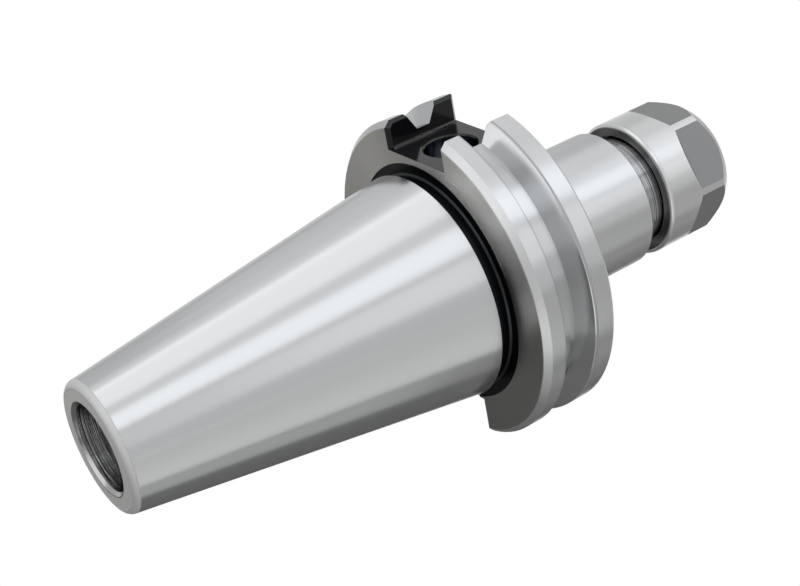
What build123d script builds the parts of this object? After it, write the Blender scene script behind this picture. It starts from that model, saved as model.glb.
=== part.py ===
from build123d import *
import math
import os

# Collet chuck holder: steep-taper shank, V-flange, collet and clamping nut.
# The axis of the holder is X and the tool points to +X. Sizes are in millimetres.
# The origin is the centre of the gauge circle, where the taper measures gauge_diameter.
# The drive slots face +Z and -Z.

# Steep taper, 7 in 24 on the diameter
gauge_diameter = 44.45
taper_per_length = 7 / 24
taper_length = 68.25
taper_lead = 0.6
small_end_chamfer = 1.2

# Black relief between the taper and the ground flange face
relief_diameter = 42.8
relief_corner = 0.3
relief_face_diameter = 47.5
relief_face_depth = 0.2

# Flange with gripper groove
flange_face_x = 3.18
flange_thickness = 15.87
flange_diameter = 63.5
flange_front_chamfer = 1.2
flange_rear_chamfer = 0.4
ring_edge_break = 0.2
groove_centre_x = 11.1
groove_root_diameter = 56.25
groove_angle = 60.0
gauge_pin_diameter = 7.0
diameter_over_pins = 72.3

# Drive slots, one deeper than the other, and the round seat in the shallow one
slot_width = 16.13
slot_floor_upper = 25.0
slot_floor_lower = 22.6
slot_edge_chamfer = 0.8
seat_diameter = 10.0
seat_depth = 4.6
seat_chamfer = 0.3

# Retention knob bore in the small end
pilot_diameter = 16.28
pilot_depth = 28.0
pilot_mouth_chamfer = 0.6
knob_thread_diameter = 15.875
knob_thread_end_depth = 48.0
drill_point_angle = 118.0
through_diameter = 9.0

# Nose, its shoulder, the neck and the threaded spigot
nose_diameter = 28.0
nose_root_corner = 0.85
shoulder_x = 45.3
shoulder_chamfer = 0.3
neck_diameter = 22.4
neck_corner = 1.0
spigot_face_x = 57.9
thread_major_diameter = 22.0
thread_pitch = 1.5
thread_run_out_x = 51.3
thread_lead_chamfer = 0.6

# Collet pocket
pocket_angle = 8.0
pocket_end_clearance = 2.0

# Collet
collet_length = 27.5
collet_big_diameter = 17.0
collet_front_overhang = 0.3
collet_stand_out = 3.5577
collet_bore_diameter = 8.0
collet_groove_depth = 1.6
collet_groove_width = 2.8
collet_head_step = 0.05
collet_head_land = 0.8
collet_front_angle = 30.0
collet_slot_count = 6
collet_slot_width = 0.8
collet_slot_web = 4.2
collet_chamfer = 0.3

# Clamping nut
nut_rear_x = 50.3
nut_length = 17.5
nut_diameter = 28.0
nut_rear_chamfer = 0.7
nut_front_chamfer = 2.5
nut_front_chamfer_length = 3.2
nut_across_flats = 25.0
nut_flat_length = 9.1
nut_recess_diameter = 23.2
nut_recess_depth = 1.6
lip_hook = 0.5
lip_offset = 0.55
lip_width = 1.6

# Clearances, all on the radius
collet_pocket_clearance = 0.02
nut_thread_clearance = 0.05
nut_seat_clearance = 0.03
nut_chamber_clearance = 0.7
nut_spigot_gap = 1.0
lip_side_gap = 0.5

# Sizes that follow from the ones above
gauge_radius = gauge_diameter / 2
flange_radius = flange_diameter / 2
flange_rear_x = flange_face_x + flange_thickness
small_end_x = -taper_length
groove_half_angle = math.radians(groove_angle / 2)
pin_centre_radius = (diameter_over_pins - gauge_pin_diameter) / 2
groove_apex_radius = pin_centre_radius - gauge_pin_diameter / 2 / math.sin(groove_half_angle)
thread_root_radius = thread_major_diameter / 2 - 0.6134 * thread_pitch
pocket_slope = math.tan(math.radians(pocket_angle))
front_slope = math.tan(math.radians(collet_front_angle))
nut_front_x = nut_rear_x + nut_length
collet_front_x = nut_front_x + collet_front_overhang
collet_rear_x = collet_front_x - collet_length
collet_big_x = spigot_face_x + collet_stand_out
collet_big_radius = collet_big_diameter / 2
collet_head_x = collet_big_x + collet_groove_width
collet_cone_x = collet_head_x + collet_head_land
nut_chamber_radius = collet_big_radius + nut_chamber_clearance


def taper_radius(x):
    return gauge_radius + x * taper_per_length / 2


def pocket_radius(x):
    return collet_big_radius + (x - collet_big_x) * pocket_slope


def head_radius(x):
    return collet_big_radius - collet_head_step - (x - collet_cone_x) * front_slope


def turned(points):
    # Solid of revolution about X from a closed outline of (x, radius) points
    return revolve(make_face(Polyline(*points, close=True)), Axis.X, 360)


def shank_blank():
    small_radius = taper_radius(small_end_x) - small_end_chamfer
    chamfer_x = small_end_x + small_end_chamfer
    return turned([
        (small_end_x, 0),
        (small_end_x, small_radius),
        (chamfer_x, taper_radius(chamfer_x)),
        (taper_lead, taper_radius(taper_lead)),
        (taper_lead, 0),
    ])


def relief_blank():
    # Neck behind the taper, bevelled into the sunk ring of the flange face
    neck_radius = relief_diameter / 2
    face_x = flange_face_x + relief_face_depth
    return turned([
        (taper_lead - 0.5, 0),
        (taper_lead - 0.5, neck_radius),
        (face_x - relief_corner, neck_radius),
        (face_x, neck_radius + relief_corner),
        (face_x, 0),
    ])


def groove_half_width(radius):
    # The groove walls touch gauge pins that measure diameter_over_pins
    return (radius - groove_apex_radius) * math.tan(groove_half_angle)


def flange_blank():
    face_ring_radius = relief_face_diameter / 2
    sunk_x = flange_face_x + relief_face_depth
    root_radius = groove_root_diameter / 2
    root_half = groove_half_width(root_radius)
    break_radius = flange_radius - ring_edge_break
    break_half = groove_half_width(break_radius)
    return turned([
        (sunk_x, 0),
        (sunk_x, face_ring_radius),
        (flange_face_x, face_ring_radius),
        (flange_face_x, flange_radius - flange_front_chamfer),
        (flange_face_x + flange_front_chamfer, flange_radius),
        (groove_centre_x - break_half - ring_edge_break, flange_radius),
        (groove_centre_x - break_half, break_radius),
        (groove_centre_x - root_half, root_radius),
        (groove_centre_x + root_half, root_radius),
        (groove_centre_x + break_half, break_radius),
        (groove_centre_x + break_half + ring_edge_break, flange_radius),
        (flange_rear_x - flange_rear_chamfer, flange_radius),
        (flange_rear_x, flange_radius - flange_rear_chamfer),
        (flange_rear_x, 0),
    ])


def drive_slot(floor_height, side):
    # Slot through the whole flange; side is 1 for +Z and -1 for -Z
    depth = flange_radius + 2 - floor_height
    centre_z = side * (floor_height + depth / 2)
    centre_x = flange_face_x + flange_thickness / 2
    channel = Box(flange_thickness + 4, slot_width, depth)
    return Pos(centre_x, 0, centre_z) * channel


def slot_flare(origin, outward, length):
    # Trapezoid bar that bevels both slot walls where they end at a surface facing outward
    plane = Plane(origin=origin, x_dir=(0, 1, 0), z_dir=Vector(0, 1, 0).cross(Vector(*outward)))
    half = slot_width / 2
    section = plane * make_face(Polyline(
        (-half, -slot_edge_chamfer),
        (half, -slot_edge_chamfer),
        (half + slot_edge_chamfer + 1, 1),
        (-half - slot_edge_chamfer - 1, 1),
        close=True,
    ))
    return extrude(section, length / 2, both=True)


def slot_edges(floor_height, side):
    # Bevels where the slot meets the front face, its chamfer, the rim and the rear face
    half = slot_width / 2
    rim_z = side * math.sqrt(flange_radius**2 - half**2)
    chamfer_z = side * math.sqrt((flange_radius - flange_front_chamfer) ** 2 - half**2)
    depth = flange_radius + 2 - floor_height
    middle_z = side * (floor_height + depth / 2)
    middle_x = flange_face_x + flange_thickness / 2
    corner = (flange_face_x + flange_front_chamfer / 2, 0, (rim_z + chamfer_z) / 2)
    across = abs(rim_z - chamfer_z)
    front = slot_flare((flange_face_x, 0, middle_z), (-1, 0, 0), depth)
    rear = slot_flare((flange_rear_x, 0, middle_z), (1, 0, 0), depth)
    rim = slot_flare((middle_x, 0, rim_z), (0, 0, side), flange_thickness + 4)
    return front + rear + rim + slot_flare(corner, (-across, 0, side * flange_front_chamfer), 4)


def tag_seat():
    # Round seat with a broken edge, sunk in the floor of the shallow slot
    radius = seat_diameter / 2
    top = slot_floor_upper
    outline = make_face(Polyline(
        (0, top - seat_depth),
        (radius, top - seat_depth),
        (radius, top - seat_chamfer),
        (radius + seat_chamfer, top),
        (radius + seat_chamfer, top + 1),
        (0, top + 1),
        close=True,
    ))
    seat = revolve(Plane.XZ * outline, Axis.Z, 360)
    return Pos(groove_centre_x, 0, 0) * seat


def nose_blank():
    # Nose with a bevelled root, shoulder, neck and plain cylinder at the thread root
    nose_radius = nose_diameter / 2
    neck_radius = neck_diameter / 2
    rear = flange_rear_x
    lead_x = spigot_face_x - thread_lead_chamfer
    run_in_x = thread_run_out_x - (neck_radius - thread_root_radius) / 2
    return turned([
        (rear - 1, 0),
        (rear - 1, nose_radius + nose_root_corner),
        (rear, nose_radius + nose_root_corner),
        (rear + nose_root_corner, nose_radius),
        (shoulder_x - shoulder_chamfer, nose_radius),
        (shoulder_x, nose_radius - shoulder_chamfer),
        (shoulder_x, neck_radius + neck_corner),
        (shoulder_x + neck_corner, neck_radius),
        (run_in_x, neck_radius),
        (thread_run_out_x, thread_root_radius),
        (lead_x, thread_root_radius),
        (spigot_face_x, thread_root_radius - thread_lead_chamfer),
        (spigot_face_x, 0),
    ])


def knob_bore():
    # Pilot, thread and drill point for the retention knob, cut from the small end
    pilot_radius = pilot_diameter / 2
    thread_radius = knob_thread_diameter / 2
    through_radius = through_diameter / 2
    pilot_end_x = small_end_x + pilot_depth
    thread_end_x = small_end_x + knob_thread_end_depth
    point = (thread_radius - through_radius) / math.tan(math.radians(drill_point_angle / 2))
    return turned([
        (small_end_x - 1, 0),
        (small_end_x - 1, pilot_radius + pilot_mouth_chamfer),
        (small_end_x, pilot_radius + pilot_mouth_chamfer),
        (small_end_x + pilot_mouth_chamfer, pilot_radius),
        (pilot_end_x, pilot_radius),
        (pilot_end_x, thread_radius),
        (thread_end_x, thread_radius),
        (thread_end_x + point, through_radius),
        (thread_end_x + point, 0),
    ])


def collet_pocket():
    # Tapered seat of the collet and the through bore behind it
    pocket_end_x = collet_rear_x - pocket_end_clearance
    through_radius = through_diameter / 2
    through_start_x = small_end_x + knob_thread_end_depth
    return turned([
        (through_start_x, 0),
        (through_start_x, through_radius),
        (pocket_end_x, through_radius),
        (pocket_end_x, pocket_radius(pocket_end_x)),
        (spigot_face_x + 1, pocket_radius(spigot_face_x + 1)),
        (spigot_face_x + 1, 0),
    ])


def holder_body():
    flange = flange_blank()
    flange -= drive_slot(slot_floor_upper, 1)
    flange -= drive_slot(slot_floor_lower, -1)
    flange -= slot_edges(slot_floor_upper, 1)
    flange -= slot_edges(slot_floor_lower, -1)
    body = shank_blank() + relief_blank() + flange + nose_blank()
    body -= tag_seat()
    body -= knob_bore()
    body -= collet_pocket()
    return body


def collet():
    # Back cone, extractor groove and front cone, slotted in turn from both ends
    rear_radius = pocket_radius(collet_rear_x) - collet_pocket_clearance
    big_radius = collet_big_radius - collet_pocket_clearance
    bore_radius = collet_bore_diameter / 2
    groove_radius = collet_big_radius - collet_groove_depth
    body = turned([
        (collet_rear_x, bore_radius + collet_chamfer),
        (collet_rear_x, rear_radius - collet_chamfer),
        (collet_rear_x + collet_chamfer, rear_radius + collet_chamfer * pocket_slope),
        (collet_big_x, big_radius),
        (collet_big_x, groove_radius),
        (collet_head_x, groove_radius),
        (collet_head_x, head_radius(collet_cone_x)),
        (collet_cone_x, head_radius(collet_cone_x)),
        (collet_front_x, head_radius(collet_front_x)),
        (collet_front_x, bore_radius + collet_chamfer),
        (collet_front_x - collet_chamfer, bore_radius),
        (collet_rear_x + collet_chamfer, bore_radius),
    ])
    cut_length = collet_length - collet_slot_web
    cut = Box(cut_length, collet_slot_width, collet_big_diameter)
    from_front = Pos(collet_front_x - cut_length / 2 + 0.5, 0, collet_big_radius) * cut
    from_rear = Pos(collet_rear_x + cut_length / 2 - 0.5, 0, collet_big_radius) * cut
    step = 360 / collet_slot_count
    for i in range(collet_slot_count):
        body -= Rot((i + 0.25) * step, 0, 0) * from_front
        body -= Rot((i + 0.75) * step, 0, 0) * from_rear
    return body


def nut_inside():
    # Recess, plain bore at the thread's major size, chambers and the front seat
    thread_radius = thread_major_diameter / 2 + nut_thread_clearance
    recess_radius = nut_recess_diameter / 2
    recess_x = nut_rear_x + nut_recess_depth
    bore_end_x = spigot_face_x + nut_spigot_gap
    seat_radius = head_radius(collet_cone_x) + nut_seat_clearance
    end_radius = head_radius(nut_front_x + 1) + nut_seat_clearance
    return turned([
        (nut_rear_x - 1, 0),
        (nut_rear_x - 1, recess_radius),
        (recess_x, recess_radius),
        (recess_x, thread_radius),
        (bore_end_x, thread_radius),
        (bore_end_x, nut_chamber_radius),
        (collet_cone_x, nut_chamber_radius),
        (collet_cone_x, seat_radius),
        (nut_front_x + 1, end_radius),
        (nut_front_x + 1, 0),
    ])


def extractor_lip():
    # Eccentric ring that hooks into the collet's groove and draws it out
    lip_x = collet_big_x + lip_side_gap + lip_width / 2
    outer = Cylinder(nut_chamber_radius + 0.5, lip_width, rotation=(0, 90, 0))
    inner = Pos(0, lip_offset, 0) * Cylinder(collet_big_radius - lip_hook, lip_width + 1, rotation=(0, 90, 0))
    return Pos(lip_x, 0, 0) * (outer - inner)


def wrench_flat_cutter():
    # Cutter for one flat above the axis, run out at 45 degrees towards the nut's rear
    flat_height = nut_across_flats / 2
    depth = nut_diameter / 2 - flat_height + 1
    start_x = nut_front_x - nut_flat_length
    section = Plane.XZ * make_face(Polyline(
        (start_x, flat_height),
        (nut_front_x + 1, flat_height),
        (nut_front_x + 1, flat_height + depth),
        (start_x - depth, flat_height + depth),
        close=True,
    ))
    return extrude(section, nut_diameter / 2, both=True)


def clamping_nut():
    radius = nut_diameter / 2
    nut = turned([
        (nut_rear_x, 0),
        (nut_rear_x, radius - nut_rear_chamfer),
        (nut_rear_x + nut_rear_chamfer, radius),
        (nut_front_x - nut_front_chamfer_length, radius),
        (nut_front_x, radius - nut_front_chamfer),
        (nut_front_x, 0),
    ])
    flat = wrench_flat_cutter()
    for i in range(6):
        nut -= Rot(i * 60, 0, 0) * flat
    nut -= nut_inside()
    return nut + extractor_lip()


os.makedirs("parts", exist_ok=True)
export_step(holder_body(), "parts/holder_body.step")
export_step(collet(), "parts/collet.step")
export_step(clamping_nut(), "parts/clamping_nut.step")
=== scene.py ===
import json
import math

import bmesh
import bpy
from mathutils import Matrix, Vector


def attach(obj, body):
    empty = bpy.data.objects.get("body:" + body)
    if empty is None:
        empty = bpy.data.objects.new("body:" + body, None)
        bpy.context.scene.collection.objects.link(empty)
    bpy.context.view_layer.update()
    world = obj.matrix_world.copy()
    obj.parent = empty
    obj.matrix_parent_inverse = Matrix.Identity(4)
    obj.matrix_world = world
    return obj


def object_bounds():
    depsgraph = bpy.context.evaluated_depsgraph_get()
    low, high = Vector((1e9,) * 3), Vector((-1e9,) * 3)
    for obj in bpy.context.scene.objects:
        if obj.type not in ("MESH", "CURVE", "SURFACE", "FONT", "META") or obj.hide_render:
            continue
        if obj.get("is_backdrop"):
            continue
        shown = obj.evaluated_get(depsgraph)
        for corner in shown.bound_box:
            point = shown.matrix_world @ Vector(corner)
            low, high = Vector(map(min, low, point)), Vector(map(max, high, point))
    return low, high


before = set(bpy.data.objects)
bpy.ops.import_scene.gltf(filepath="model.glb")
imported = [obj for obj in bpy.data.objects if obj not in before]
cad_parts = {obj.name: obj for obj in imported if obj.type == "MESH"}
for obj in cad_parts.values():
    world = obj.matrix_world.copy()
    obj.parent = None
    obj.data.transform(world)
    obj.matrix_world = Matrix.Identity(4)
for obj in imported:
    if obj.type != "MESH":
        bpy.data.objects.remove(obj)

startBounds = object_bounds()
mm = 0.001


# Shader maths: a socket that takes part in Python expressions
class Value:
    def __init__(self, graph, socket):
        self.graph = graph
        self.socket = socket

    def math(self, operation, *others):
        return self.graph.node("ShaderNodeMath", {"operation": operation}, [self, *others])

    def __add__(self, other):
        return self.math("ADD", other)

    def __radd__(self, other):
        return self.math("ADD", other)

    def __sub__(self, other):
        return self.math("SUBTRACT", other)

    def __rsub__(self, other):
        return self.graph.node("ShaderNodeMath", {"operation": "SUBTRACT"}, [other, self])

    def __mul__(self, other):
        return self.math("MULTIPLY", other)

    def __rmul__(self, other):
        return self.math("MULTIPLY", other)

    def __truediv__(self, other):
        return self.math("DIVIDE", other)

    def __rtruediv__(self, other):
        return self.graph.node("ShaderNodeMath", {"operation": "DIVIDE"}, [other, self])

    def __gt__(self, other):
        return self.math("GREATER_THAN", other)

    def __lt__(self, other):
        return self.math("LESS_THAN", other)

    def between(self, low, high):
        return (self > low * mm) * (self < high * mm)  # low and high in millimetres


class Graph:
    def __init__(self, tree):
        self.tree = tree
        tree.nodes.clear()

    def node(self, kind, settings, inputs, output=0):
        # output is a socket's name or number, a tuple of them, or None
        made = self.tree.nodes.new(kind)
        for name, value in settings.items():
            setattr(made, name, value)
        pairs = inputs.items() if isinstance(inputs, dict) else enumerate(inputs)
        for key, value in pairs:
            socket = made.inputs[key]
            if isinstance(value, Value):
                self.tree.links.new(value.socket, socket)
            else:
                socket.default_value = value
        if isinstance(output, tuple):
            return [Value(self, made.outputs[key]) for key in output]
        if output is not None:
            return Value(self, made.outputs[output])

    def place(self):
        point = self.node("ShaderNodeTexCoord", {}, {}, "Object")
        return self.node("ShaderNodeSeparateXYZ", {}, [point], ("X", "Y", "Z"))

    def vector(self, x, y, z):
        return self.node("ShaderNodeCombineXYZ", {}, [x, y, z])

    def vectorMath(self, operation, inputs):
        return self.node("ShaderNodeVectorMath", {"operation": operation}, inputs)

    def blend(self, factor, low, high):
        # A Mix node's colours are its inputs 6 and 7 and its output 2
        return self.node("ShaderNodeMix", {"data_type": "RGBA"}, {0: factor, 6: low, 7: high}, 2)

    def finish(self, inputs):
        shader = self.node("ShaderNodeBsdfPrincipled", {}, inputs)
        self.node("ShaderNodeOutputMaterial", {}, {"Surface": shader}, None)


def fromAxis(y, z):
    return (y * y + z * z).math("SQRT")


def material(name):
    made = bpy.data.materials.new(name)
    made.use_nodes = True
    return made, Graph(made.node_tree)


def grey(level, tint=0.0):
    return (level - tint, level, level + tint, 1.0)


print("stage: materials")

# Ground steel of the holder, with black oxide in the slots, the tag seat and the relief.
# Each zone has a roughness, the depth of its marks in metres and the spread of its normals.
holderLook = {
    "steel": (0.570, 0.574, 0.578, 1.0),
    # painted shade: the flange face's steel is darker and warmer than the rest, standing in for the shade
    # in its reflections
    "flangeFacePaintedShade": (0.434, 0.43, 0.42, 1.0),
    "noseWall": grey(0.60, 0.004),
    # painted light: the small end face has a lighter steel than the rest so that it renders brighter
    "endFacePaintedLight": (0.79, 0.785, 0.78, 1.0),
    # painted shade: the neck in the gap before the nut is darker steel
    "neckWallPaintedShade": grey(0.41, 0.004),
    # painted shade: the wall inside the bore is darker steel
    "boreWallPaintedShade": grey(0.42),
    # painted shade: the groove's walls are a little darker steel than the rings
    "grooveWallPaintedShade": grey(0.53, 0.004),
    # painted shade: the rear ring's broken edge is darker steel, which damps the bright line it catches
    "ringEdgePaintedShade": grey(0.42),
    "seatWall": (0.25, 0.265, 0.30, 1.0),
    "reliefBlack": (0.028, 0.030, 0.034, 1.0),
    "slotBlack": (0.012, 0.012, 0.014, 1.0),
    "specularTint": grey(0.75),
    "taper": {"roughness": 0.205, "marks": 0.0000040, "spread": 0.04},
    "face": {"roughness": 0.16, "marks": 0.0000060, "spread": 0.20},
    "chamfer": {"roughness": 0.33, "marks": 0.0000060, "spread": 0.20},
    "groove": {"roughness": 0.18, "marks": 0.0000060, "spread": 0.04},
    "ringEdge": {"roughness": 0.60, "marks": 0.0, "spread": 0.0},
    "rim": {"roughness": 0.20, "marks": 0.0000060, "spread": 0.20},
    "nose": {"roughness": 0.25, "marks": 0.0000060, "spread": 0.15},
    "neck": {"roughness": 0.10, "marks": 0.0000060, "spread": 0.04},
    "end": {"roughness": 0.55, "marks": 0.0000060, "spread": 0.20},
    "bore": {"roughness": 0.17, "marks": 0.0000600, "spread": 0.05},
    "slots": {"roughness": 0.12, "marks": 0.0, "spread": 0.0},
    "relief": {"roughness": 0.28, "marks": 0.0, "spread": 0.0},
    "faceTilt": 0.45,       # lean of the steeper flanks on the flange's face
    "tiltShare": 0.30,      # share of the marks that have one
    "markScale": 5200.0,
    "markAround": 60.0,
    "turnScale": 3000.0,
    "boreTurning": 0.000090,
    "neckTurning": 0.000090,
    "markNoise": {"Scale": 1.0, "Detail": 2.0, "Roughness": 0.6},
    "chanceSteps": (0.0, 0.37, 0.71),  # three separate draws at each place
}

# Where the holder's zones lie, in millimetres along X and from the axis
holderPlaces = {
    "slotHalfWidth": 8.085,
    "slotSpan": (3.0, 19.3),
    "slotFloors": (-22.55, 24.95),
    "bevelFaces": (3.98, 18.25),    # the slots' bevels reach from here out to the faces
    "bevelRim": 29.91,
    "bevelCorner": (3.18, 29.466),  # bevel along the front ring's chamfer
    "bevelTurn": (0.719, 0.695),
    "bevelSize": 0.8,
    "seatCentre": 11.1,
    "seatRadius": 5.32,
    "seatDepth": 20.3,
    "seatEdge": 24.65,
    "relief": (0.62, 3.6),
    "reliefRadius": 23.76,
    "boreMouth": -20,
    "boreRadius": 8.9,
    "end": -67.06,
    "taper": 0.62,
    "face": 3.3,
    "chamfer": (3.3, 4.36),
    "groove": (7.2, 14.65),
    "ringEdge": (14.65, 15.1),
    "nose": 19.2,
    "neck": 45.35,
    "neckRadius": 13.0,
}


def turnedNormal(g, spread, tilt, share):
    # Fine turning marks scatter light across the marks: the normal leans to and fro along the meridian,
    # and a share of the marks has one steeper flank
    x, y, z = g.place()
    radius = fromAxis(y, z).math("MAXIMUM", 0.1 * mm)
    normal = g.node("ShaderNodeNewGeometry", {}, {}, "Normal")
    around = g.vector(0.0, z / radius * -1.0, y / radius)
    across = g.vectorMath("CROSS_PRODUCT", [normal, around])
    chance = [g.node("ShaderNodeTexWhiteNoise", {"noise_dimensions": "3D"}, [g.vector(x + step, y, z)])
              for step in holderLook["chanceSteps"]]
    lean = (chance[0] + chance[1] - 1.0) * spread + (chance[2] < share) * tilt
    scaled = g.vectorMath("SCALE", {0: across, "Scale": lean})
    return g.vectorMath("NORMALIZE", [g.vectorMath("ADD", [normal, scaled])])


def slotMask(x, y, z):
    # The slots' width grows over their bevels, towards the faces and the rim
    at = holderPlaces
    high = z.math("ABSOLUTE")
    (front, rear), (cornerX, cornerHigh) = at["bevelFaces"], at["bevelCorner"]
    alongX, alongHigh = at["bevelTurn"]
    widening = (front * mm - x).math("MAXIMUM", x - rear * mm).math("MAXIMUM", high - at["bevelRim"] * mm)
    slanted = (high - cornerHigh * mm) * alongHigh - (x - cornerX * mm) * alongX + at["bevelSize"] * mm
    widening = widening.math("MAXIMUM", slanted).math("MAXIMUM", 0.0)
    lower, upper = at["slotFloors"]
    wide = y.math("ABSOLUTE") - widening < at["slotHalfWidth"] * mm
    return wide * x.between(*at["slotSpan"]) * ((z > upper * mm) + (z < lower * mm))


def holderMaterial():
    look, at = holderLook, holderPlaces
    made, g = material("groundSteelLook")
    x, y, z = g.place()
    radius = fromAxis(y, z)
    seat = fromAxis(x - at["seatCentre"] * mm, y) < at["seatRadius"] * mm
    seat = seat * (z > at["seatDepth"] * mm)
    seatWall = seat * (z < at["seatEdge"] * mm)
    relief = x.between(*at["relief"]) * (radius < at["reliefRadius"] * mm)
    slots = (slotMask(x, y, z) + seat).math("MINIMUM", 1.0) * (1 - relief)
    bore = (x < at["boreMouth"] * mm) * (radius < at["boreRadius"] * mm)
    end = (x < at["end"] * mm) * (1 - bore)
    taper = (x < at["taper"] * mm) * (1 - bore) * (1 - end)
    nose = x > at["nose"] * mm
    neck = nose * (x > at["neck"] * mm) * (radius < at["neckRadius"] * mm)
    flange = (1 - taper) * (1 - bore) * (1 - end) * (1 - nose) * (1 - (slots + relief))
    face = flange * (x < at["face"] * mm)
    chamfer = flange * x.between(*at["chamfer"])
    groove = flange * x.between(*at["groove"])
    ringEdge = flange * x.between(*at["ringEdge"])
    rim = flange - face - chamfer - groove - ringEdge
    zones = ((taper, "taper"), (face, "face"), (chamfer, "chamfer"), (groove, "groove"),
             (ringEdge, "ringEdge"), (rim, "rim"), (nose - neck, "nose"), (neck, "neck"),
             (end, "end"), (bore, "bore"), (slots, "slots"), (relief, "relief"))
    rough, marks, spread = [sum(zone * look[name][part] for zone, name in zones)
                            for part in ("roughness", "marks", "spread")]
    # Turning and grinding marks run round the axis
    scale = look["markScale"]
    grainPlace = g.vector(x * scale, radius * scale, (y + z) * look["markAround"])
    grain = g.node("ShaderNodeTexNoise", {}, {"Vector": grainPlace, **look["markNoise"]})
    turning = g.node("ShaderNodeTexNoise", {"noise_dimensions": "1D"},
                     {"W": x * look["turnScale"], **look["markNoise"]})
    normal = g.node("ShaderNodeBump", {}, {
        "Strength": 1.0,
        "Distance": 1.0,
        "Height": grain * marks + turning * (bore * look["boreTurning"] + neck * look["neckTurning"]),
        "Normal": turnedNormal(g, spread, face * look["faceTilt"], look["tiltShare"]),
    })
    colour = look["steel"]
    # painted light and shade: the end face is lightened; the flange face, neck, bore, groove and ring
    # edge are darkened
    for zone, name in ((end, "endFacePaintedLight"), (face, "flangeFacePaintedShade"), (nose, "noseWall"), (neck, "neckWallPaintedShade"),
                       (bore, "boreWallPaintedShade"), (groove, "grooveWallPaintedShade"), (ringEdge, "ringEdgePaintedShade"),
                       (relief, "reliefBlack"), (slots, "slotBlack"), (seatWall, "seatWall")):
        colour = g.blend(zone, colour, look[name])
    g.finish({
        "Base Color": colour,
        "Metallic": 1 - slots + seatWall,
        "Roughness": rough,
        "Normal": normal,
        "Specular Tint": look["specularTint"],
    })
    return made


# Satin nut with duller milled flats, and painted shade on its front cone and rear face; places in
# millimetres
nutLook = {
    "steel": grey(0.61),
    "flat": grey(0.29),
    # painted shade: the front cone is darker steel, which damps its bright reflection
    "front": grey(0.27),
    # painted shade: the rear face in the gap over the neck is dark steel
    "rear": grey(0.17),
    "roughness": 0.27,
    "flatRoughness": 0.58,
    "flatFromAxis": 12.5,
    "flatDepth": 0.02,
    "flatStart": 58.6,
    "rearEnd": 52.0,
    "rearRadius": 13.25,
    "frontStart": 64.7,
}


def nutMaterial():
    look = nutLook
    made, g = material("nutSteelLook")
    x, y, z = g.place()
    cosine, sine = math.cos(math.radians(60)), math.sin(math.radians(60))
    second = (z * cosine + y * sine).math("ABSOLUTE")
    third = (z * cosine - y * sine).math("ABSOLUTE")
    across = z.math("ABSOLUTE").math("MAXIMUM", second).math("MAXIMUM", third)
    onFlat = (across - look["flatFromAxis"] * mm).math("ABSOLUTE") < look["flatDepth"] * mm
    flat = onFlat * (x > look["flatStart"] * mm)
    # painted shade: the rear face and the front cone get darker steel
    rear = (x < look["rearEnd"] * mm) * (fromAxis(y, z) < look["rearRadius"] * mm)
    front = x > look["frontStart"] * mm
    colour = look["steel"]
    for zone, name in ((front, "front"), (flat, "flat"), (rear, "rear")):
        colour = g.blend(zone, colour, look[name])
    g.finish({
        "Base Color": colour,
        "Metallic": 1.0,
        "Roughness": look["roughness"] + flat * (look["flatRoughness"] - look["roughness"]),
    })
    return made


# Plain steels for the collet, the threads, the fillets and the rounded edges, and black oxide
plainLooks = {
    "colletSteelLook": {"Base Color": grey(0.5), "Metallic": 1.0, "Roughness": 0.22},
    "threadSteelLook": {"Base Color": grey(0.45), "Metallic": 1.0, "Roughness": 0.3},
    "noseSteelLook": {"Base Color": grey(0.60), "Metallic": 1.0, "Roughness": 0.27},
    "nutEdgeLook": {"Base Color": grey(0.62), "Metallic": 1.0, "Roughness": 0.25},
    # painted shade: the neck fillet is darker steel, like the neck in the gap before the nut
    "neckPaintedShadeSteelLook": {"Base Color": grey(0.43), "Metallic": 1.0, "Roughness": 0.10},
    "endSteelLook": {"Base Color": (0.60, 0.597, 0.594, 1.0), "Metallic": 1.0, "Roughness": 0.68},
    "blackOxideLook": {"Base Color": (0.012, 0.012, 0.014, 1.0), "Metallic": 0.0, "Roughness": 0.06},
}


def plainMaterial(name):
    made, g = material(name)
    g.finish(plainLooks[name])
    return made


looks = {name: plainMaterial(name) for name in plainLooks}
nodeLooks = {
    "holder_body": holderMaterial(),
    "clamping_nut": nutMaterial(),
    "collet": looks["colletSteelLook"],
}
for node, made in nodeLooks.items():
    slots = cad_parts[node].data.materials
    slots.clear()
    slots.append(made)

print("stage: fillets")


def addObject(name, mesh, look):
    data = bpy.data.meshes.new(name)
    mesh.to_mesh(data)
    mesh.free()
    data.materials.append(look)
    made = bpy.data.objects.new(name, data)
    bpy.context.scene.collection.objects.link(made)
    return made


def addPiece(name, mesh, body, look):
    bmesh.ops.recalc_face_normals(mesh, faces=mesh.faces)
    for face in mesh.faces:
        face.smooth = True
    piece = addObject(name, mesh, looks[look])
    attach(piece, body)


def profile(mesh, points):
    # Closed outline of (x, radius) points in millimetres in the plane y = 0
    corners = [mesh.verts.new((px * mm, 0, pr * mm)) for px, pr in points]
    return [mesh.edges.new((corners[i - 1], corners[i])) for i in range(len(corners))]


ringSteps = 180


def turnedRing(name, points, body, look):
    mesh = bmesh.new()
    edges = profile(mesh, points)
    bmesh.ops.spin(mesh, geom=edges + list(mesh.verts), cent=(0, 0, 0), axis=(1, 0, 0), dvec=(0, 0, 0),
                   angle=2 * math.pi, steps=ringSteps, use_merge=True)
    addPiece(name, mesh, body, look)


def arcAngles(turn, count):
    return [turn * i / count for i in range(count + 1)]


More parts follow.
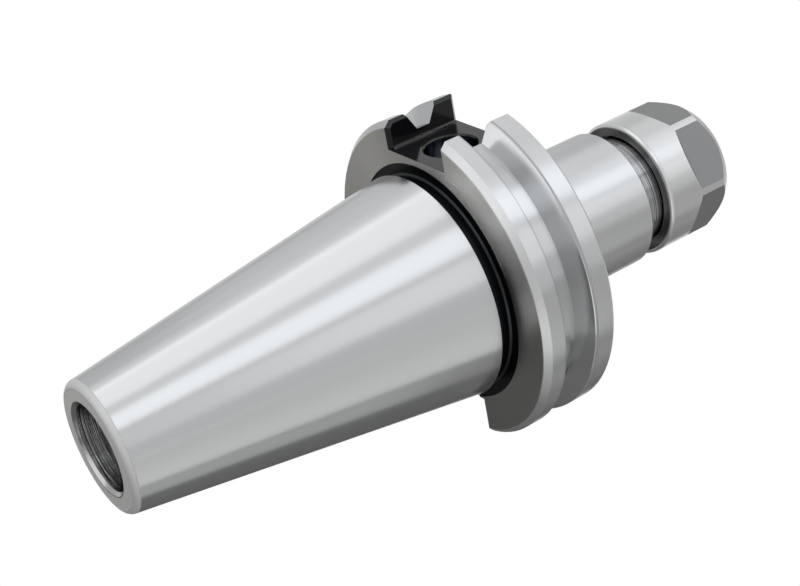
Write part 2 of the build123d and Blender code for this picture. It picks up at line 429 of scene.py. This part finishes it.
# Concave fillets in the holder's turned corners; side is the way the cylinder runs from the corner
fillets = {
    "count": 8,
    "sunk": 0.15,
    "rings": {
        "reliefFillet": {"corner": (3.38, 21.4), "size": 0.32, "side": -1, "look": "blackOxideLook"},
        "noseRootFillet": {"corner": (19.05, 14.0), "size": 1.5, "side": 1, "look": "noseSteelLook"},
        # the neck fillet takes the neck's painted shade
        "neckFillet": {"corner": (45.3, 11.2), "size": 1.8, "side": 1, "look": "neckPaintedShadeSteelLook"},
    },
}


def filletPoints(corner, size, side):
    cornerX, cornerRadius = corner
    sunk = fillets["sunk"]
    centreX = cornerX + side * size
    centreRadius = cornerRadius + size
    arc = [(centreX - side * size * math.cos(a), centreRadius - size * math.sin(a))
           for a in arcAngles(math.pi / 2, fillets["count"])]
    return arc + [(centreX, cornerRadius - sunk), (cornerX - side * sunk, cornerRadius - sunk),
                  (cornerX - side * sunk, centreRadius)]


for name, shape in fillets["rings"].items():
    outline = filletPoints(shape["corner"], shape["size"], shape["side"])
    turnedRing(name, outline, "holder", shape["look"])

# Fillets between the walls and the floor of the two slots
slotFillets = {
    "wall": 8.065,
    "span": (3.98, 18.25),
    "size": 0.55,
    "sunk": 0.1,
    "count": 6,
    "sides": {"Far": 1, "Near": -1},
    "floors": {"Upper": 25.0, "Lower": -22.6},
}


def slotFillet(name, side, floor):
    shape = slotFillets
    size, sunk, wall, deep = shape["size"], shape["sunk"], shape["wall"], abs(floor)
    start, end = shape["span"]
    out = math.copysign(1, floor)
    outline = [(wall - size + size * math.cos(a), deep + size - size * math.sin(a))
               for a in arcAngles(math.pi / 2, shape["count"])]
    outline += [(wall - size, deep - sunk), (wall + sunk, deep - sunk), (wall + sunk, deep + size)]
    mesh = bmesh.new()
    corners = [mesh.verts.new((start * mm, side * oy * mm, out * oz * mm)) for oy, oz in outline]
    moved = bmesh.ops.extrude_face_region(mesh, geom=[mesh.faces.new(corners)])["geom"]
    moved = [item for item in moved if isinstance(item, bmesh.types.BMVert)]
    bmesh.ops.translate(mesh, verts=moved, vec=((end - start) * mm, 0, 0))
    addPiece(name, mesh, "holder", "blackOxideLook")


for sideName, side in slotFillets["sides"].items():
    for floorName, floor in slotFillets["floors"].items():
        slotFillet("slotFillet" + sideName + floorName, side, floor)

print("stage: rounded edges")

# Rounded edges over the solids' flat chamfers: face, sharp corner's radius, leg, and slope of the outside
roundedEdges = {
    "smallEndEdge": {"x": -68.25, "radius": 12.2715, "leg": 1.2, "slope": 7 / 48, "count": 10,
                     "body": "holder", "look": "endSteelLook", "slot": "ground_steel"},
    "nutRearEdge": {"x": 50.3, "radius": 14.0, "leg": 0.7, "slope": 0.0, "count": 8,
                    "body": "nut", "look": "nutEdgeLook", "slot": "nut_steel"},
}

roundedSunk = (0.2, 0.4)  # how far the outline's last point lies in the metal


def roundedPoints(shape):
    # Arc that touches the face and the outside, both one leg away from the sharp corner
    turn = math.pi / 2 - math.atan(shape["slope"])
    along = shape["leg"] / math.cos(math.atan(shape["slope"]))
    size = along / math.tan(turn / 2)
    centreX = shape["x"] + size
    centreRadius = shape["radius"] - along
    arc = [(centreX - size * math.cos(a), centreRadius + size * math.sin(a))
           for a in arcAngles(turn, shape["count"])]
    sunkX, sunkRadius = roundedSunk
    return arc + [(centreX + sunkX, centreRadius - sunkRadius)]


for name, shape in roundedEdges.items():
    turnedRing(name, roundedPoints(shape), shape["body"], shape["look"])

print("stage: threads")

# Helical threads in millimetres; half widths as shares of the pitch
threads = {
    "stepsPerTurn": 60,
    "rootHalf": 0.42,
    "crestHalf": 0.07,
    "ridges": {
        "spigotThread": {"body": "holder", "slot": "ground_steel", "pitch": 1.5, "span": (51.6, 57.0),
                         "root": 10.0, "crest": 10.93, "phase": 0.0},
        "nutThread": {"body": "nut", "slot": "nut_steel", "pitch": 1.5, "span": (52.3, 58.3),
                      "root": 11.12, "crest": 10.2, "phase": 0.5},
        "knobThread": {"body": "holder", "slot": "ground_steel", "pitch": 2.309, "span": (-39.6, -21.4),
                       "root": 8.05, "crest": 6.85, "phase": 0.0},
    },
}


def threadPiece(name, shape):
    pitch, perTurn = shape["pitch"], threads["stepsPerTurn"]
    start, end = shape["span"]
    root, crest = shape["root"], shape["crest"]
    middle = start + shape["phase"] * pitch
    wide, narrow = pitch * threads["rootHalf"], pitch * threads["crestHalf"]
    steps = int((end - start) / pitch * perTurn)
    mesh = bmesh.new()
    edges = profile(mesh, [(middle - wide, root), (middle - narrow, crest),
                           (middle + narrow, crest), (middle + wide, root)])
    bmesh.ops.contextual_create(mesh, geom=edges)
    bmesh.ops.spin(mesh, geom=list(mesh.faces) + list(mesh.edges) + list(mesh.verts), cent=(0, 0, 0),
                   axis=(1, 0, 0), dvec=(pitch * mm / perTurn, 0, 0), angle=2 * math.pi * steps / perTurn,
                   steps=steps)
    addPiece(name, mesh, shape["body"], "threadSteelLook")


for name, shape in threads["ridges"].items():
    threadPiece(name, shape)

print("stage: studio")

# Lamps along the axis: angle from the front (-Y) up over the top in degrees, lengths in metres
strips = {
    "keyStrip": {"angle": 56, "distance": 0.6, "size": (1.07, 0.255), "shift": -0.115, "level": 0.79,
                 "tint": (0.92, 0.96, 1.0)},
    "keyEnd": {"angle": 56, "distance": 0.6, "size": (0.38, 0.255), "shift": 0.61, "level": 0.51,
               "tint": (0.92, 0.96, 1.0)},
    "frontSoft": {"angle": 26, "distance": 0.7, "size": (0.8, 0.30), "shift": 0.4, "level": 0.38},
    "frontLeft": {"angle": 26, "distance": 0.7, "size": (0.65, 0.30), "shift": -0.325, "level": 0.13},
    "upperSoft": {"angle": 76, "distance": 0.65, "size": (0.9, 0.18), "shift": 0.25, "level": 0.20,
                  "tint": (0.98, 0.99, 1.0)},
    "topSoft": {"angle": 101, "distance": 0.7, "size": (0.94, 0.455), "shift": -0.13, "level": 0.63,
                "tint": (0.98, 0.99, 1.0)},
    "backSoft": {"angle": 122, "distance": 0.65, "size": (0.35, 0.22), "shift": 0.075, "level": 0.24},
    "backMiddle": {"angle": 142, "distance": 0.65, "size": (0.19, 0.22), "shift": 0.155, "level": 0.17},
    "backLow": {"angle": 162, "distance": 0.65, "size": (0.4, 0.22), "shift": 0.3, "level": 0.15},
    "lowFront": {"angle": -30, "distance": 0.28, "size": (0.73, 0.25), "shift": -0.235, "level": 0.69},
    "lowRight": {"angle": -30, "distance": 0.28, "size": (0.42, 0.25), "shift": 0.34, "level": 0.45},
    "underLeft": {"angle": -66, "distance": 0.24, "size": (0.35, 0.085), "shift": -0.125, "level": 0.34},
    "underRight": {"angle": -66, "distance": 0.24, "size": (0.25, 0.085), "shift": 0.175, "level": 0.13},
    "underSoft": {"angle": -82, "distance": 0.26, "size": (0.3, 0.20), "shift": 0.25, "level": 0.14,
                  "tint": (1, 0.99, 0.96)},
}

# Lamps that face the part from a place of their own
panels = {
    "leftPanel": {"place": (-0.72, 0.10, 0.34), "size": (0.85, 0.58), "level": 0.73},
    "rightPanel": {"place": (0.47, -0.34, 0.44), "size": (0.35, 0.42), "level": 0.24,
                   "tint": (0.78, 0.89, 1.0)},
    "backPanel": {"place": (0.48, 0.16, 0.52), "size": (0.40, 0.35), "level": 0.20,
                  "tint": (0.97, 0.99, 1)},
    "lowLeft": {"place": (-0.30, 0.485, -0.185), "size": (0.42, 0.17), "level": 0.22,
                "tint": (1, 0.98, 0.90)},
    "lowCorner": {"place": (-0.38, -0.27, -0.27), "size": (0.26, 0.26), "level": 0.50,
                  "tint": (1, 1, 0.99)},
    "gapPanel": {"place": (0.60, -0.09, 0.60), "size": (0.22, 0.26), "level": 0.40,
                 "tint": (0.9, 0.95, 1)},
}


def addLamp(name, look, place, across, away):
    width, height = look["size"]
    data = bpy.data.lights.new(name, "AREA")
    data.shape = "RECTANGLE"
    data.size, data.size_y = width, height
    data.energy = look["level"] * math.pi * width * height
    data.color = look.get("tint", (1, 1, 1))
    lamp = bpy.data.objects.new(name, data)
    bpy.context.scene.collection.objects.link(lamp)
    turn = Matrix((across, away.cross(across), away)).transposed()
    lamp.matrix_world = Matrix.Translation(place) @ turn.to_4x4()
    lamp.visible_camera = False


for name, look in strips.items():
    angle = math.radians(look["angle"])
    along = Vector((1, 0, 0))
    away = Vector((0, -math.cos(angle), math.sin(angle)))
    addLamp(name, look, away * look["distance"] + along * look["shift"], along, away)
for name, look in panels.items():
    away = Vector(look["place"]).normalized()
    addLamp(name, look, Vector(look["place"]), Vector((0, 0, 1)).cross(away).normalized(), away)

# Pale floor, and a white backdrop that starts at a slanting edge behind the part
studio = {
    "floorHeight": -0.500,
    "floorReach": 4,
    "floorFinish": {"Base Color": (0.75, 0.745, 0.73, 1.0), "Roughness": 0.9, "Specular IOR Level": 0.1},
    "backdropEdge": ((-0.3, 1.090), (0.3, 0.429)),
    "backdropReach": 14.0,
    "backdropDepth": 6,
    "backdropLift": 0.001,
    "backdropColour": grey(0.9),
    "worldSeen": grey(0.74, 0.007),
    "worldLight": grey(0.05),
}


def seenDirectly(g):
    # 1 for rays from the camera and those that gloss or glass sends on
    rays = ("Is Camera Ray", "Is Glossy Ray", "Is Transmission Ray")
    camera, glossy, glass = g.node("ShaderNodeLightPath", {}, {}, rays)
    return camera.math("MAXIMUM", glossy).math("MAXIMUM", glass)


def flatSheet(name, corners, height, look):
    mesh = bmesh.new()
    mesh.faces.new([mesh.verts.new((cx, cy, height)) for cx, cy in corners])
    addObject(name, mesh, look)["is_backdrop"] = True


floorLook, g = material("floorLook")
g.finish(studio["floorFinish"])
reach = studio["floorReach"]
flatSheet("floor", [(-reach, -reach), (reach, -reach), (reach, reach), (-reach, reach)],
          studio["floorHeight"], floorLook)

backdropLook, g = material("backdropLook")
plain = g.node("ShaderNodeBsdfDiffuse", {}, {"Color": studio["backdropColour"]})
white = g.node("ShaderNodeEmission", {}, {"Color": (1, 1, 1, 1), "Strength": 1.0})
mixed = g.node("ShaderNodeMixShader", {}, {0: seenDirectly(g), 1: plain, 2: white})
g.node("ShaderNodeOutputMaterial", {}, {"Surface": mixed}, None)
edgeStart, edgeEnd = [Vector(point) for point in studio["backdropEdge"]]
along = (edgeEnd - edgeStart) * studio["backdropReach"]
deep = Vector((1, 1)) * studio["backdropDepth"]
near = [edgeStart - along, edgeEnd + along]
far = [edgeEnd + along + deep, edgeStart - along + deep]
flatSheet("backdrop", near + far, studio["floorHeight"] + studio["backdropLift"], backdropLook)

world = bpy.data.worlds.new("studioWorld")
bpy.context.scene.world = world
world.use_nodes = True
g = Graph(world.node_tree)
skyColour = g.blend(seenDirectly(g), studio["worldLight"], studio["worldSeen"])
background = g.node("ShaderNodeBackground", {}, {"Color": skyColour})
g.node("ShaderNodeOutputWorld", {}, {"Surface": background}, None)

print("stage: camera")

cameraLook = {
    "place": (-137.332, -229.212, 140.597),  # millimetres
    "turn": (62.6213, 8.931, -36.8964),
    "lens": 72.7847,
    "sensor": 36,
    "shift": (-0.068036, -0.039057),
    "clipStart": 0.01,
}
data = bpy.data.cameras.new("photoCamera")
data.lens = cameraLook["lens"]
data.sensor_width = cameraLook["sensor"]
data.shift_x, data.shift_y = cameraLook["shift"]
data.clip_start = cameraLook["clipStart"]
camera = bpy.data.objects.new("photoCamera", data)
bpy.context.scene.collection.objects.link(camera)
camera.location = [length * mm for length in cameraLook["place"]]
camera.rotation_euler = [math.radians(a) for a in cameraLook["turn"]]
bpy.context.scene.camera = camera
bpy.context.scene.view_settings.view_transform = "Standard"

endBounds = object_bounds()
plainBounds = [json.loads(json.dumps(b, default=list)) for b in (startBounds, endBounds)]
